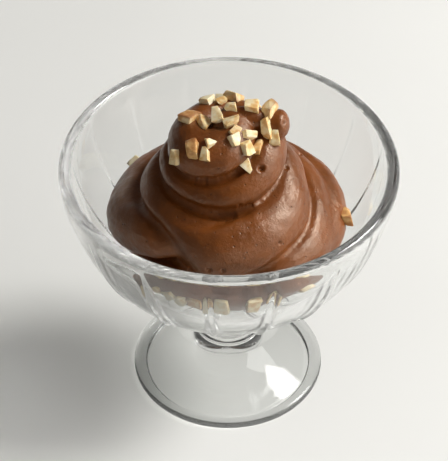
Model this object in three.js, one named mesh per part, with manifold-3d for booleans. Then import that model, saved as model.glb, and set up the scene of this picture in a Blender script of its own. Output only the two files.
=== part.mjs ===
// Chocolate mousse piped in a rising swirl into a footed pressed-glass coupe,
// with chopped hazelnuts scattered on it.
//
// Millimetres, +Z up. The origin is the centre of the ring that the foot stands on.
// Azimuths are degrees from the front (-Y) towards the right (+X).
import * as THREE from "three";
import { mergeVertices } from "three/addons/utils/BufferGeometryUtils.js";
import { ConvexGeometry } from "three/addons/geometries/ConvexGeometry.js";
import Module from "manifold-3d";

const wasm = await Module();
wasm.setup();

// ---------------------------------------------------------------- driving dimensions

// Glass bowl: a superellipse outside, a flatter one inside, so the wall thickens downwards.
const RIM_RADIUS = 50;
const RIM_HEIGHT = 82;
const LIP_RADIUS = 1.85;
const BOWL_DEPTH_SCALE = 47;
const CAVITY_DEPTH = 42;
const BOWL_RISE_POWER = 1.45;
const BOWL_SIDE_POWER = 3.11;
const BOWL_BOTTOM = 37.5;
const FLOOR_SWEEP = 8;
const FLOOR_SLOPE = 0.45;

// Rows of the bowl lie closer together where it curves most.
const ROW_SPACING_POWER = 1.15;

// Stem and foot.
const STEM_TOP = { radius: 9.4, height: 22.2 };
const COLLAR = { radius: 10.3, height: 18.3, bead: 1.2 };
const WAIST = { radius: 9.7, height: 16.7 };
const FOOT_RADIUS = 29.4;
const FOOT_EDGE_BEAD = 1.5;
const FOOT_RING_RADIUS = 25.4;
const FOOT_HOLLOW_HEIGHT = 10.5;
const HOLLOW_FULLNESS = 0.12;
const HOLLOW_STEP = 2.6;
const HOLLOW_STEP_WIDTH = 0.8;
const FOOT_DIP = 0.4;
const FOOT_DIP_WIDTH = 2;

// Control points of the foot's upper side, between its edge and the waist.
const FLARE = [
  { radius: 20, height: 5.6 },
  { radius: 11, height: 9.8 },
];

// Flutes pressed into the outside of the bowl, deeper low down, with narrow ridges between them.
const FLUTE_COUNT = 16;
const FLUTE_TURN = -7;
const FLUTE_DEPTH = 0.25;
const FLUTE_TOP = 81;
const FLUTE_FADE = 8;
const FLUTE_DEEPENING = 0.5;
const FLUTE_DEEP_FROM = 64;
const FLUTE_DEEP_BELOW = 46;
const FLUTE_BOTTOM = 27;
const FLUTE_RUN_IN = 7;
const RIDGE_HALF_WIDTH = 1.4;
const SEGMENTS_PER_FLUTE = 4;

// Mousse: one rope piped in a spiral. A station every quarter turn or closer gives
// the rope's outer reach from the axis, the height of its centre and its half thickness.
const ROPE = [
  { quarter: -3, reach: 12, height: 46, half: 7 },
  { quarter: -2, reach: 16, height: 48, half: 7.5 },
  { quarter: -1, reach: 29.5, height: 52.5, half: 8 },
  { quarter: -0.6, reach: 30.5, height: 52.8, half: 8 },
  { quarter: 0, reach: 29, height: 54.2, half: 8.8 },
  { quarter: 1, reach: 35.4, height: 61.5, half: 9 },
  { quarter: 2, reach: 35.5, height: 61, half: 9.5 },
  { quarter: 3, reach: 36.3, height: 62.2, half: 9 },
  { quarter: 3.4, reach: 31.5, height: 68.2, half: 7 },
  { quarter: 3.7, reach: 28.2, height: 68, half: 7 },
  { quarter: 4, reach: 25.5, height: 64, half: 8 },
  { quarter: 4.5, reach: 33.8, height: 61, half: 9.8 },
  { quarter: 5, reach: 31.8, height: 64.5, half: 9.5 },
  { quarter: 6, reach: 27.5, height: 69.5, half: 9 },
  { quarter: 7, reach: 26.3, height: 72.5, half: 9.5 },
  { quarter: 7.5, reach: 28.5, height: 70.5, half: 10.8 },
  { quarter: 8, reach: 30, height: 69, half: 11.6 },
  { quarter: 8.5, reach: 27.5, height: 71, half: 11 },
  { quarter: 9, reach: 22.8, height: 76, half: 9.8 },
  { quarter: 10, reach: 20.5, height: 80, half: 8 },
  { quarter: 11, reach: 20.7, height: 82.5, half: 7.3 },
  { quarter: 12, reach: 19, height: 84, half: 6.5 },
  { quarter: 13, reach: 16.6, height: 90.5, half: 7 },
  { quarter: 14, reach: 15.5, height: 92, half: 7 },
  { quarter: 15, reach: 17.8, height: 92.5, half: 7.5 },
  { quarter: 15.5, reach: 18.3, height: 93, half: 8 },
  { quarter: 16, reach: 12.5, height: 95, half: 7.2 },
  { quarter: 16.5, reach: 7, height: 97.5, half: 6 },
];
const ROPE_SIDES = 16;
const ROPE_STEPS_PER_QUARTER = 8;
const PIECE_QUARTERS = 1.5;

// The tail that the nozzle pulled away to the right, and the stub it ends in.
const TAIL_START = new THREE.Vector3(-3, 1, 98.5);
const TAIL_BEND = new THREE.Vector3(6, 2, 101);
const TAIL_END = new THREE.Vector3(13, 0.5, 98.7);
const TAIL_HALF = 3.6;
const STUB_CENTRE = new THREE.Vector3(14.2, 0.6, 98);
const STUB_HALF = new THREE.Vector3(3.2, 4.3, 4.3);

// Solid heart of the swirl, inside the rope all the way up.
const HEART = [
  { height: 40.4, radius: 12 },
  { height: 50, radius: 15 },
  { height: 58, radius: 20 },
  { height: 68, radius: 18 },
  { height: 78, radius: 13 },
  { height: 92, radius: 8 },
  { height: 98.5, radius: 5 },
];

// Clearance between the mousse and the glass it stands in.
const REST_GAP = 0.3;

// Chopped hazelnuts. Crown nuts are aimed at a point inside the crown, ring nuts at the axis.
// A nut's turn is clockwise from straight up the slope, and wide is its width in lengths.
// Taper draws its upper end in. What a nut leaves out is drawn at random.
const NUT_SEED = 41;
const NUT_SINK = 0.34;
const NUT_WIDE = { low: 0.6, high: 0.95 };
const NUT_TAPER = { low: 0, high: 0.7 };
const NUT_THICKNESS = { low: 0.55, high: 0.75 };
const NUT_THICKEST = 3.2;
const NUT_CORNER_DRAW = 0.62;
const NUT_TILT = 20;
const CROWN_CENTRE_HEIGHT = 88;
const CROWN_NUTS = [
  { azimuth: -98, elevation: 47, length: 7.2, wide: 0.8, taper: 0.3, turn: 28 },
  { azimuth: -74, elevation: 57, length: 7, wide: 0.9, taper: 0.8, turn: -150 },
  { azimuth: -148, elevation: 44, length: 4.6, wide: 0.85, taper: 0.2, turn: 30 },
  { azimuth: -87, elevation: 77, length: 6.6, wide: 0.6, taper: 0.4, turn: -31 },
  { azimuth: -165, elevation: 50, length: 3.6, wide: 0.85, taper: 0.3, turn: 60 },
  { azimuth: 165, elevation: 84, length: 4.6, wide: 0.9, taper: 0.15, turn: 10 },
  { azimuth: 173, elevation: 38, length: 7.6, wide: 0.8, taper: 0.3, turn: 60 },
  { azimuth: 104, elevation: 67, length: 5.3, wide: 0.95, taper: 0.1, turn: 5 },
  { azimuth: 99, elevation: 51, length: 7, wide: 0.75, taper: 0.35, turn: 26 },
  { azimuth: 9, elevation: 76, length: 5.8, wide: 0.72, taper: 0.3, turn: 70 },
  { azimuth: 13, elevation: 62, length: 3.9, wide: 0.85, taper: 0.2, turn: 40 },
  { azimuth: 8, elevation: 52, length: 4.4, wide: 0.9, taper: 0.3, turn: 160 },
  { azimuth: 38, elevation: 55, length: 4.9, wide: 0.62, taper: 0.15, turn: 102 },
  { azimuth: 77.8, elevation: 47, length: 8.4, wide: 0.42, taper: 0.4, turn: 0 },
  { azimuth: 75.5, elevation: 32, length: 6.2, wide: 0.6, taper: 0.15, turn: -3 },
  { azimuth: -42, elevation: 35, length: 6.6, wide: 0.7, taper: 0.25, turn: 172 },
  { azimuth: -27, elevation: 36, length: 5.2, wide: 0.55, taper: 0.3, turn: 4 },
  { azimuth: -24, elevation: 47, length: 4, wide: 0.9, taper: 0.9, turn: 80 },
  { azimuth: -55, elevation: 21, length: 5, wide: 0.66, taper: 0.1, turn: 14 },
  { azimuth: 27, elevation: 42, length: 5.3, wide: 0.9, taper: 0.3, turn: -30 },
  { azimuth: 53, elevation: 35, length: 5.6, wide: 0.65, taper: 0.4, turn: 12 },
  { azimuth: 24, elevation: 19, length: 9, wide: 0.65, taper: 0.9, turn: 140 },
  { azimuth: 140, elevation: 46, length: 4.2 },
  { azimuth: -172, elevation: 24, length: 4.4 },
  { azimuth: 152, elevation: 20, length: 3.8 },
  { azimuth: -152, elevation: 10, length: 4 },
];
const RING_NUTS = [
  { azimuth: -43, height: 54.2, length: 5, wide: 0.85, taper: 0.2, turn: 20 },
  { azimuth: -34.5, height: 54, length: 5.8, wide: 0.85, taper: 0.15, turn: -10 },
  { azimuth: -27.5, height: 53.8, length: 5.6, wide: 0.8, taper: 0.3, turn: 30 },
  { azimuth: -18.5, height: 54, length: 7.2, wide: 0.8, taper: 0.3, turn: 95 },
  { azimuth: -5.6, height: 54.2, length: 9, wide: 0.76, taper: 0.2, turn: 0 },
  { azimuth: 13.8, height: 54.2, length: 9, wide: 0.62, taper: 0.35, turn: 175 },
  { azimuth: 25.5, height: 55.6, length: 6, wide: 0.6, taper: 0.2, turn: 5 },
  { azimuth: 42.5, height: 58.6, length: 6.6, wide: 0.75, taper: 0.2, turn: 20 },
  { azimuth: 87, height: 64.4, length: 6.4, wide: 0.8, taper: 0.3, turn: 40 },
  { azimuth: 118, height: 56, length: 4 },
  { azimuth: 141, height: 57, length: 4.6 },
  { azimuth: 163, height: 60.5, length: 3.8 },
  { azimuth: -168, height: 62.5, length: 4.4 },
  { azimuth: -146, height: 60, length: 4 },
  { azimuth: -128, height: 64, length: 4.8, wide: 0.9, taper: 0.15, turn: 0 },
];

// ---------------------------------------------------------------- helpers

const radians = THREE.MathUtils.degToRad;
const { smoothstep } = THREE.MathUtils;

/** A seeded random number between 0 and 1, the same on every run. */
function seededRandom(seed) {
  let state = seed >>> 0;
  return () => {
    state = (Math.imul(state, 1664525) + 1013904223) >>> 0;
    return state / 4294967296;
  };
}

/** Merges shared corners and drops the triangles that this leaves with no area. */
function closedGeometry(geometry) {
  const bare = geometry.clone();
  bare.deleteAttribute("normal");
  bare.deleteAttribute("uv");
  const merged = mergeVertices(bare, 1e-4);
  const corners = merged.index.array;
  const kept = [];
  for (let i = 0; i < corners.length; i += 3) {
    const [a, b, c] = [corners[i], corners[i + 1], corners[i + 2]];
    if (a !== b && b !== c && c !== a) {
      kept.push(a, b, c);
    }
  }
  merged.setIndex(kept);
  return merged;
}

/** The solid that a closed geometry bounds. */
function solidFrom(geometry) {
  const closed = closedGeometry(geometry);
  const mesh = new wasm.Mesh({
    numProp: 3,
    vertProperties: new Float32Array(closed.attributes.position.array),
    triVerts: new Uint32Array(closed.index.array),
  });
  return new wasm.Manifold(mesh);
}

/** The geometry of a solid's surface. */
function geometryFrom(solid) {
  const mesh = solid.getMesh();
  const geometry = new THREE.BufferGeometry();
  geometry.setAttribute("position", new THREE.BufferAttribute(new Float32Array(mesh.vertProperties), 3));
  geometry.setIndex(Array.from(mesh.triVerts));
  return geometry;
}

/** The outer shell of a joined solid, with what it encloses filled and loose scraps dropped. */
function outerShell(solid) {
  return solid.decompose().reduce((best, shell) => (shell.volume() > best.volume() ? shell : best));
}

/** Turns a (radius, height) profile about +Z. The first segment edge lies at the flute turn. */
function turned(profile, segments) {
  const geometry = new THREE.LatheGeometry(profile, segments, radians(FLUTE_TURN));
  return geometry.rotateX(Math.PI / 2);
}

// ---------------------------------------------------------------- glass coupe

/** Radius of a bowl surface at a height, from its rim radius and the depth of its bottom. */
function bowlRadius(height, rimRadius, depth) {
  const fall = Math.max(0, (RIM_HEIGHT - height) / depth);
  return rimRadius * Math.max(0, 1 - fall ** BOWL_RISE_POWER) ** (1 / BOWL_SIDE_POWER);
}

const cavityRimRadius = RIM_RADIUS - 2 * LIP_RADIUS;
const cavityBottom = RIM_HEIGHT - CAVITY_DEPTH;

function cavityRadius(height) {
  return bowlRadius(height, cavityRimRadius, CAVITY_DEPTH);
}

/** The foot from the top of its hollow, round the ring and the edge, up to the waist. */
function footProfile() {
  const hollow = new THREE.CubicBezierCurve(
    new THREE.Vector2(0, FOOT_HOLLOW_HEIGHT),
    new THREE.Vector2(FOOT_RING_RADIUS * HOLLOW_FULLNESS, FOOT_HOLLOW_HEIGHT),
    new THREE.Vector2(FOOT_RING_RADIUS - HOLLOW_STEP_WIDTH, HOLLOW_STEP),
    new THREE.Vector2(FOOT_RING_RADIUS, 0),
  );
  const edge = new THREE.EllipseCurve(
    FOOT_RADIUS - FOOT_EDGE_BEAD, FOOT_EDGE_BEAD, FOOT_EDGE_BEAD, FOOT_EDGE_BEAD, -Math.PI / 2, Math.PI / 2,
  );
  const edgeTop = edge.getPoint(1);
  const flare = new THREE.CubicBezierCurve(
    new THREE.Vector2(edgeTop.x - FOOT_DIP_WIDTH, edgeTop.y - FOOT_DIP),
    new THREE.Vector2(FLARE[0].radius, FLARE[0].height),
    new THREE.Vector2(FLARE[1].radius, FLARE[1].height),
    new THREE.Vector2(WAIST.radius, WAIST.height),
  );
  return [...hollow.getPoints(6), ...edge.getPoints(5), ...flare.getPoints(6)];
}

/** The collar bead and the neck under the bowl. */
function stemProfile() {
  const bead = new THREE.EllipseCurve(
    COLLAR.radius - COLLAR.bead, COLLAR.height, COLLAR.bead, COLLAR.bead, -Math.PI / 2, Math.PI / 2,
  );
  return [...bead.getPoints(4), new THREE.Vector2(STEM_TOP.radius, STEM_TOP.height)];
}

/** The outside of the bowl, from the neck up to the lip. */
function bowlOutsideProfile() {
  const bottomRadius = bowlRadius(BOWL_BOTTOM, RIM_RADIUS, BOWL_DEPTH_SCALE);
  const floor = new THREE.QuadraticBezierCurve(
    new THREE.Vector2(STEM_TOP.radius, STEM_TOP.height),
    new THREE.Vector2(bottomRadius - FLOOR_SWEEP, BOWL_BOTTOM - FLOOR_SWEEP * FLOOR_SLOPE),
    new THREE.Vector2(bottomRadius, BOWL_BOTTOM),
  );
  const side = [];
  const rows = 9;
  for (let row = 1; row <= rows; row += 1) {
    const height = THREE.MathUtils.lerp(BOWL_BOTTOM, RIM_HEIGHT, (row / rows) ** ROW_SPACING_POWER);
    side.push(new THREE.Vector2(bowlRadius(height, RIM_RADIUS, BOWL_DEPTH_SCALE), height));
  }
  return [...floor.getPoints(4).slice(1), ...side];
}

/** The rounded lip and the inside of the bowl, down to the axis. */
function bowlInsideProfile() {
  const lip = new THREE.EllipseCurve(RIM_RADIUS - LIP_RADIUS, RIM_HEIGHT, LIP_RADIUS, LIP_RADIUS, 0, Math.PI);
  const side = [];
  const rows = 8;
  for (let row = 1; row <= rows; row += 1) {
    const fall = Math.sin((row / rows) * (Math.PI / 2)) ** (1 / ROW_SPACING_POWER);
    const height = RIM_HEIGHT - CAVITY_DEPTH * fall;
    side.push(new THREE.Vector2(cavityRadius(height), height));
  }
  side[rows - 1].x = 0;
  return [...lip.getPoints(4).slice(1), ...side];
}

/** How deep the flutes are pressed at an azimuth and a height: not at all on a ridge. */
function fluteDepth(azimuth, height) {
  const pitch = 360 / FLUTE_COUNT;
  const pastRidge = THREE.MathUtils.euclideanModulo(azimuth - FLUTE_TURN, pitch);
  const fromRidge = Math.min(pastRidge, pitch - pastRidge);
  const ridge = Math.exp(-((fromRidge / RIDGE_HALF_WIDTH) ** 2));
  const shallow = FLUTE_DEPTH * (1 - smoothstep(height, FLUTE_TOP - FLUTE_FADE, FLUTE_TOP));
  const deepening = FLUTE_DEEPENING * (1 - smoothstep(height, FLUTE_DEEP_BELOW, FLUTE_DEEP_FROM));
  const aboveBottom = smoothstep(height, FLUTE_BOTTOM, FLUTE_BOTTOM + FLUTE_RUN_IN);
  return (shallow + deepening) * (1 - ridge) * aboveBottom;
}

/** Presses the flutes into the outside rows of the turned coupe, along the surface's normal. */
function pressFlutes(geometry, profile, firstRow, lastRow) {
  const position = geometry.attributes.position;
  const segments = position.count / profile.length;
  for (let row = firstRow; row <= lastRow; row += 1) {
    const tangent = profile[row + 1].clone().sub(profile[row - 1]).normalize();
    for (let segment = 0; segment < segments; segment += 1) {
      const corner = segment * profile.length + row;
      const azimuth = FLUTE_TURN + (360 * segment) / (segments - 1);
      const depth = fluteDepth(azimuth, profile[row].y);
      const radius = profile[row].x - depth * tangent.y;
      const height = profile[row].y + depth * tangent.x;
      const angle = radians(azimuth);
      position.setXYZ(corner, radius * Math.sin(angle), -radius * Math.cos(angle), height);
    }
  }
}

function glassCoupe() {
  const below = [...footProfile(), ...stemProfile()];
  const outside = bowlOutsideProfile();
  const profile = [...below, ...outside, ...bowlInsideProfile()];
  const geometry = turned(profile, FLUTE_COUNT * SEGMENTS_PER_FLUTE);
  pressFlutes(geometry, profile, below.length, below.length + outside.length - 1);
  const glass = new THREE.MeshStandardMaterial({ color: 0xdfe6e2, roughness: 0.03, metalness: 0 });
  glass.transparent = true;
  glass.opacity = 0.35;
  const coupe = new THREE.Mesh(closedGeometry(geometry), glass);
  coupe.name = "glass_coupe";
  return coupe;
}

// ---------------------------------------------------------------- mousse

const ropeCurve = new THREE.CubicInterpolant(
  new Float64Array(ROPE.map((station) => station.quarter)),
  new Float64Array(ROPE.flatMap((station) => [station.reach, station.height, station.half])),
  3,
  new Float64Array(3),
);

/** Centre and half thickness of the rope at a number of quarter turns. */
function ropeAt(quarter) {
  const [reach, height, half] = ropeCurve.evaluate(quarter);
  const angle = (quarter * Math.PI) / 2;
  const orbit = reach - half;
  return { centre: new THREE.Vector3(orbit * Math.sin(angle), -orbit * Math.cos(angle), height), half };
}

/** A closed tube whose round sections follow a path: pathAt(t) gives { centre, half } for t from 0 to 1. */
function sweptTube(pathAt, steps) {
  const geometry = new THREE.CylinderGeometry(1, 1, 1, ROPE_SIDES, steps);
  const position = geometry.attributes.position;
  const up = new THREE.Vector3(0, 0, 1);
  const corner = new THREE.Vector3();
  for (let i = 0; i < position.count; i += 1) {
    corner.fromBufferAttribute(position, i);
    const t = corner.y + 0.5;
    const { centre, half } = pathAt(t);
    const ahead = pathAt(t + 1e-3).centre;
    const behind = pathAt(t - 1e-3).centre;
    const along = ahead.sub(behind).normalize();
    const outward = new THREE.Vector3().crossVectors(along, up).normalize();
    const above = new THREE.Vector3().crossVectors(outward, along);
    const place = centre.clone().addScaledVector(outward, half * corner.x).addScaledVector(above, half * corner.z);
    position.setXYZ(i, place.x, place.y, place.z);
  }
  return solidFrom(geometry);
}

/** A ball at the end of the rope. */
function roundEnd(centre, half) {
  const geometry = new THREE.SphereGeometry(half, ROPE_SIDES, ROPE_SIDES / 2);
  return solidFrom(geometry.translate(centre.x, centre.y, centre.z));
}

/** The piped rope, as short tubes that share their end sections, and the ball it ends in. */
function pipedRope() {
  const first = ROPE[0].quarter;
  const last = ROPE[ROPE.length - 1].quarter;
  const tip = ropeAt(last);
  let rope = roundEnd(tip.centre, tip.half);
  for (let start = first; start < last; start += PIECE_QUARTERS) {
    const end = Math.min(start + PIECE_QUARTERS, last);
    const steps = Math.round((end - start) * ROPE_STEPS_PER_QUARTER);
    const piece = sweptTube((t) => ropeAt(THREE.MathUtils.lerp(start, end, t)), steps);
    rope = rope.add(piece);
  }
  return rope;
}

/** The tail as a bent tube, with its wider stub end. */
function tail() {
  const curve = new THREE.QuadraticBezierCurve3(TAIL_START, TAIL_BEND, TAIL_END);
  const tube = sweptTube((t) => ({ centre: curve.getPoint(t), half: TAIL_HALF }), 4);
  const stub = new THREE.SphereGeometry(1, ROPE_SIDES, ROPE_SIDES / 2);
  stub.scale(...STUB_HALF);
  stub.translate(...STUB_CENTRE);
  return tube.add(solidFrom(stub));
}

function heart() {
  const profile = HEART.map((level) => new THREE.Vector2(level.radius, level.height));
  profile.unshift(new THREE.Vector2(0, HEART[0].height));
  profile.push(new THREE.Vector2(0, HEART[HEART.length - 1].height + 1));
  return solidFrom(turned(profile, 24));
}

/** The space in the bowl that the mousse may fill, open far above the rim. */
function roomInBowl() {
  const profile = [new THREE.Vector2(0, cavityBottom + REST_GAP)];
  const rows = 10;
  for (let row = 1; row <= rows; row += 1) {
    const height = cavityBottom + CAVITY_DEPTH * (row / rows) ** 2;
    profile.push(new THREE.Vector2(cavityRadius(height) - REST_GAP, height + REST_GAP));
  }
  const farTop = 3 * RIM_HEIGHT;
  profile.push(new THREE.Vector2(cavityRimRadius - REST_GAP, farTop));
  profile.push(new THREE.Vector2(0, farTop));
  return solidFrom(turned(profile, 48));
}

// ---------------------------------------------------------------- hazelnuts

/** One angular chunk about the origin: the hull of a tapered box's corners, each drawn in at random. */
function nutChunk(nut, random) {
  const between = (low, high) => low + (high - low) * random();
  const drawn = {
    wide: between(NUT_WIDE.low, NUT_WIDE.high),
    taper: between(NUT_TAPER.low, NUT_TAPER.high),
    turn: 360 * random(),
  };
  const { length, wide, taper, turn } = { ...drawn, ...nut };
  const thickness = Math.min(NUT_THICKEST, length * between(NUT_THICKNESS.low, NUT_THICKNESS.high));
  const corners = [];
  for (const x of [-0.5, 0.5]) {
    const spread = x > 0 ? 1 - taper : 1;
    for (const y of [-0.5, 0.5]) {
      for (const z of [-0.5, 0.5]) {
        const along = x * length * between(NUT_CORNER_DRAW, 1);
        const aside = y * length * wide * spread * between(NUT_CORNER_DRAW, 1);
        const above = z * thickness * Math.sqrt(spread) * between(NUT_CORNER_DRAW, 1);
        corners.push(new THREE.Vector3(along, aside, above));
      }
    }
  }
  return { geometry: new ConvexGeometry(corners).rotateZ(-radians(turn)), thickness };
}

/** Turns a chunk on the surface, tilts it a little and beds it in. */
function bedNut(nut, place, normal, random) {
  const { geometry, thickness } = nutChunk(nut, random);
  geometry.rotateX(radians(NUT_TILT) * (2 * random() - 1));
  const aside = new THREE.Vector3().crossVectors(normal, new THREE.Vector3(0, 1, 1)).normalize();
  const upslope = new THREE.Vector3().crossVectors(aside, normal);
  geometry.applyMatrix4(new THREE.Matrix4().makeBasis(upslope, aside, normal));
  const centre = place.clone().addScaledVector(normal, thickness * (0.5 - NUT_SINK));
  return solidFrom(geometry.translate(centre.x, centre.y, centre.z));
}

/** The solid of every nut, each bedded where a ray aimed from outside first meets the mousse. */
function nuts(bareMousse) {
  const random = seededRandom(NUT_SEED);
  const target = new THREE.Mesh(geometryFrom(bareMousse).toNonIndexed());
  target.geometry.computeVertexNormals();
  const distance = 100;
  const aims = [];
  for (const nut of CROWN_NUTS) {
    aims.push({ ...nut, height: CROWN_CENTRE_HEIGHT });
  }
  for (const nut of RING_NUTS) {
    aims.push({ ...nut, elevation: 0 });
  }
  return aims.map((nut) => {
    const { azimuth, elevation, height } = nut;
    const outward = new THREE.Vector3(
      Math.cos(radians(elevation)) * Math.sin(radians(azimuth)),
      -Math.cos(radians(elevation)) * Math.cos(radians(azimuth)),
      Math.sin(radians(elevation)),
    );
    const origin = new THREE.Vector3(0, 0, height).addScaledVector(outward, distance);
    const ray = new THREE.Raycaster(origin, outward.clone().negate());
    const hit = ray.intersectObject(target)[0];
    return bedNut(nut, hit.point, hit.face.normal, random);
  });
}

function mousse() {
  const room = roomInBowl();
  const bare = outerShell(pipedRope().add(tail()).add(heart()).intersect(room));
  const dressed = nuts(bare).reduce((whole, nut) => whole.add(nut), bare).intersect(room);
  const chocolate = new THREE.MeshStandardMaterial({ color: 0x4a2a1a, roughness: 0.45, metalness: 0 });
  const body = new THREE.Mesh(geometryFrom(outerShell(dressed)), chocolate);
  body.name = "mousse";
  return body;
}

// ---------------------------------------------------------------- assembly

const dessert = new THREE.Group();
dessert.add(glassCoupe(), mousse());

export default dessert;
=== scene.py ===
"""Looks of a chocolate mousse piped in a rising swirl into a footed pressed-glass coupe.

The coupe's profile, the rope's stations and the nuts' places are the ones the part's source uses,
in millimetres, and everything is made in the part's own frame: +Z up, -Y to the front.
Azimuths are degrees from the front (-Y) towards the right (+X).
"""
import math

import bmesh
import bpy
import numpy as np
from mathutils import Matrix, Quaternion, Vector, noise
from mathutils.bvhtree import BVHTree


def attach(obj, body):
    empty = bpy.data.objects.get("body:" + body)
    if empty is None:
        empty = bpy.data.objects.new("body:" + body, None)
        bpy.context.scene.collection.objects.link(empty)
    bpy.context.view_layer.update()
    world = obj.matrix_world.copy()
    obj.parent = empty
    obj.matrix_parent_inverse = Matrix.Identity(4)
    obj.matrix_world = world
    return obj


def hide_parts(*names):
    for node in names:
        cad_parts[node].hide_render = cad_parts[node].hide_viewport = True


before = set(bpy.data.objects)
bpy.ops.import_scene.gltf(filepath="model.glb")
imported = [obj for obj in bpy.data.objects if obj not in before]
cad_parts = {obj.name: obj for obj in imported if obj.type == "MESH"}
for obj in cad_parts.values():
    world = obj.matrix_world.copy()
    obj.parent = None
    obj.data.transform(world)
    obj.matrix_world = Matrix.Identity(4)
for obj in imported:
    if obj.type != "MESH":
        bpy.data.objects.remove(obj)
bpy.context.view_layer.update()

MM = 0.001

# ---------------------------------------------------------------- sizes in millimetres

# Glass bowl. Outside and inside it falls from the rim as a curve with a power for the rise from
# the bottom and one for the side.
RIM_RADIUS = 50
RIM_HEIGHT = 82
LIP_RADIUS = 1.85
BOWL_DEPTH_SCALE = 47
CAVITY_DEPTH = 42
BOWL_RISE_POWER = 1.45
BOWL_SIDE_POWER = 3.11
BOWL_BOTTOM = 37.5
FLOOR_SWEEP = 8
FLOOR_SLOPE = 0.45
CAVITY_BOTTOM = RIM_HEIGHT - CAVITY_DEPTH
CAVITY_RIM_RADIUS = RIM_RADIUS - 2 * LIP_RADIUS

# Stem and foot, as radii and heights. The foot stands on the ring round its domed hollow.
STEM_TOP = (9.4, 22.2)
COLLAR_RADIUS, COLLAR_HEIGHT, COLLAR_BEAD = 10.3, 18.3, 1.2
WAIST_RADIUS, WAIST_HEIGHT = 9.7, 16.7
FOOT_RADIUS = 29.4
FOOT_EDGE_BEAD = 1.5
FOOT_RING_RADIUS = 25.4
FOOT_HOLLOW_HEIGHT = 10.5
HOLLOW_FULLNESS = 0.12
HOLLOW_STEP = 2.6
HOLLOW_STEP_WIDTH = 0.8
FOOT_DIP = 0.4
FOOT_DIP_WIDTH = 2
FLARE = [(20, 5.6), (11, 9.8)]

# Flutes: turn and ridge width in degrees, the rest in millimetres. They are shallow all the way
# down, and deepen between two heights.
FLUTE_COUNT = 16
FLUTE_TURN = -7
FLUTE_DEPTH = 0.25
FLUTE_TOP = 81
FLUTE_FADE = 8
FLUTE_DEEPENING = 0.5
FLUTE_DEEP_FROM = 64
FLUTE_DEEP_BELOW = 46
RIDGE_HALF_WIDTH = 1.4
FLUTE_BOTTOM = 27
FLUTE_RUN_IN = 7

# Fineness of the glass: segments to each flute, crowded at the ridges, and points along each
# stretch of the profile, which inside crowd towards the bottom by a power. Edges over the sharp
# angle, in degrees, are shaded as edges.
SEGMENTS_PER_FLUTE = 20
RIDGE_CROWDING = 0.11
HOLLOW_POINTS = 36
FOOT_EDGE_POINTS = 20
FLARE_POINTS = 32
COLLAR_POINTS = 18
FLOOR_POINTS = 20
OUTSIDE_POINTS = 72
LIP_POINTS = 20
INSIDE_POINTS = 60
INSIDE_SPREAD = 0.8
GLASS_SHARP_ANGLE = 40

# The piped rope: quarter turn, reach from the axis, height of the centre, half thickness.
ROPE = np.array([
    (-3, 12, 46, 7),
    (-2, 16, 48, 7.5),
    (-1, 29.5, 52.5, 8),
    (-0.6, 30.5, 52.8, 8),
    (0, 29, 54.2, 8.8),
    (1, 35.4, 61.5, 9),
    (2, 35.5, 61, 9.5),
    (3, 36.3, 62.2, 9),
    (3.4, 31.5, 68.2, 7),
    (3.7, 28.2, 68, 7),
    (4, 25.5, 64, 8),
    (4.5, 33.8, 61, 9.8),
    (5, 31.8, 64.5, 9.5),
    (6, 27.5, 69.5, 9),
    (7, 26.3, 72.5, 9.5),
    (7.5, 28.5, 70.5, 10.8),
    (8, 30, 69, 11.6),
    (8.5, 27.5, 71, 11),
    (9, 22.8, 76, 9.8),
    (10, 20.5, 80, 8),
    (11, 20.7, 82.5, 7.3),
    (12, 19, 84, 6.5),
    (13, 16.6, 90.5, 7),
    (14, 15.5, 92, 7),
    (15, 17.8, 92.5, 7.5),
    (15.5, 18.3, 93, 8),
    (16, 12.5, 95, 7.2),
    (16.5, 7, 97.5, 6),
])
ROPE_STEPS_PER_QUARTER = 40
ROPE_SIDES = 96
BALL_ROWS = 24

# The tail pulled away to the right, the stub it ends in, and the solid heart of the swirl, whose
# points are radii and heights.
TAIL_START = (-3, 1, 98.5)
TAIL_BEND = (6, 2, 101)
TAIL_END = (13, 0.5, 98.7)
TAIL_HALF = 3.6
TAIL_POINTS = 40
STUB_CENTRE = (14.2, 0.6, 98)
STUB_HALF = (3.2, 4.3, 4.3)
HEART = [(12, 40.4), (15, 50), (20, 58), (18, 68), (13, 78), (8, 92), (5, 98.5)]

# The mousse's even skin, and how far its underside settles into the glass it rests on.
VOXEL = 0.46
SKIN_SMOOTHING = 2
SETTLE_INTO_GLASS = 0.12
REST_POINTS = 400

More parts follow.
